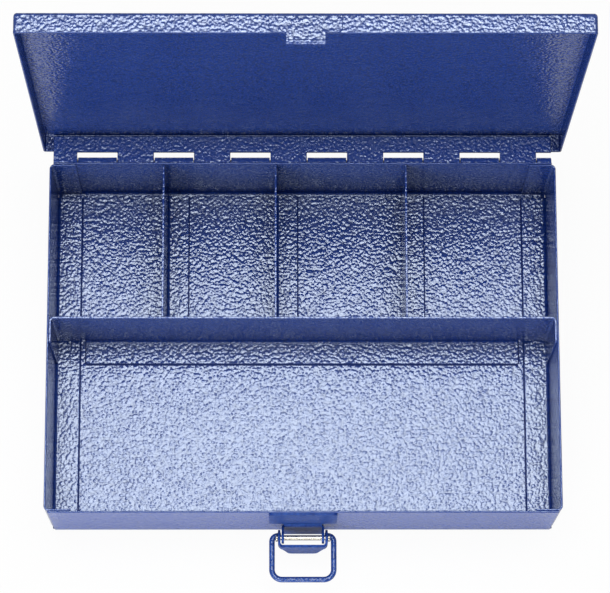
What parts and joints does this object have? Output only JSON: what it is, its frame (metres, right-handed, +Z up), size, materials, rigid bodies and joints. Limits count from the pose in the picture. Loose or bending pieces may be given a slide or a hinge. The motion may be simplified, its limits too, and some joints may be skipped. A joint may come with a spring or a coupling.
{
  "type": "drill bit case",
  "caption": "Shallow sheet-steel case with a hinged lid standing open, small and long compartments, and a toggle latch with a wire bail, in blue hammered enamel.",
  "frame": {"origin": "middle of the underside of the case", "axes": "+X to the right seen from the latch, +Y to the hinge at the back, +Z up"},
  "size_m": [0.2584, 0.2253, 0.2279],
  "materials": {
    "enamel_case": "glossy blue hammered enamel on steel",
    "enamel_lid": "glossy blue hammered enamel on steel",
    "enamel_latch": "glossy blue enamel on steel",
    "bright_steel": "bright zinc-plated steel"
  },
  "bodies": {
    "case": {"case_shell": "enamel_case", "end_wall_left": "enamel_case", "end_wall_right": "enamel_case", "cross_divider": "enamel_case", "divider_left": "enamel_case", "divider_middle": "enamel_case", "divider_right": "enamel_case", "hinge_leaf_case": "enamel_case", "hinge_pin": "bright_steel", "latch_base": "enamel_latch", "latch_pin": "bright_steel"},
    "lid": {"lid_shell": "enamel_lid", "hinge_leaf_lid": "enamel_lid", "lid_catch": "enamel_latch"},
    "lever": {"latch_lever": "enamel_latch"},
    "bail_bushes": {"bail_bush_left": "bright_steel", "bail_bush_right": "bright_steel"},
    "bail": {"latch_bail": "enamel_latch"}
  },
  "joints": [
    {"name": "lid_hinge", "type": "hinge", "parent": "case", "child": "lid", "pos_m": [0, 0.0908, 0.041], "axis": [1, 0, 0], "range_deg": [0, 90.85]},
    {"name": "lever_pivot", "type": "hinge", "parent": "case", "child": "lever", "pos_m": [0, -0.0952, 0.0259], "axis": [-1, 0, 0], "range_deg": [0, 120]},
    {"name": "bush_turn", "type": "hinge", "parent": "lever", "child": "bail_bushes", "pos_m": [0, -0.0935, 0.0209], "axis": [-1, 0, 0], "range_deg": [-120, 0]},
    {"name": "bail_pivot", "type": "hinge", "parent": "bail_bushes", "child": "bail", "pos_m": [0, -0.0935, 0.0209], "axis": [-1, 0, 0], "range_deg": [-60, 90]}
  ],
  "couplings": [
    {"joint": "bush_turn", "follows": "lever_pivot", "ratio": -1}
  ]
}
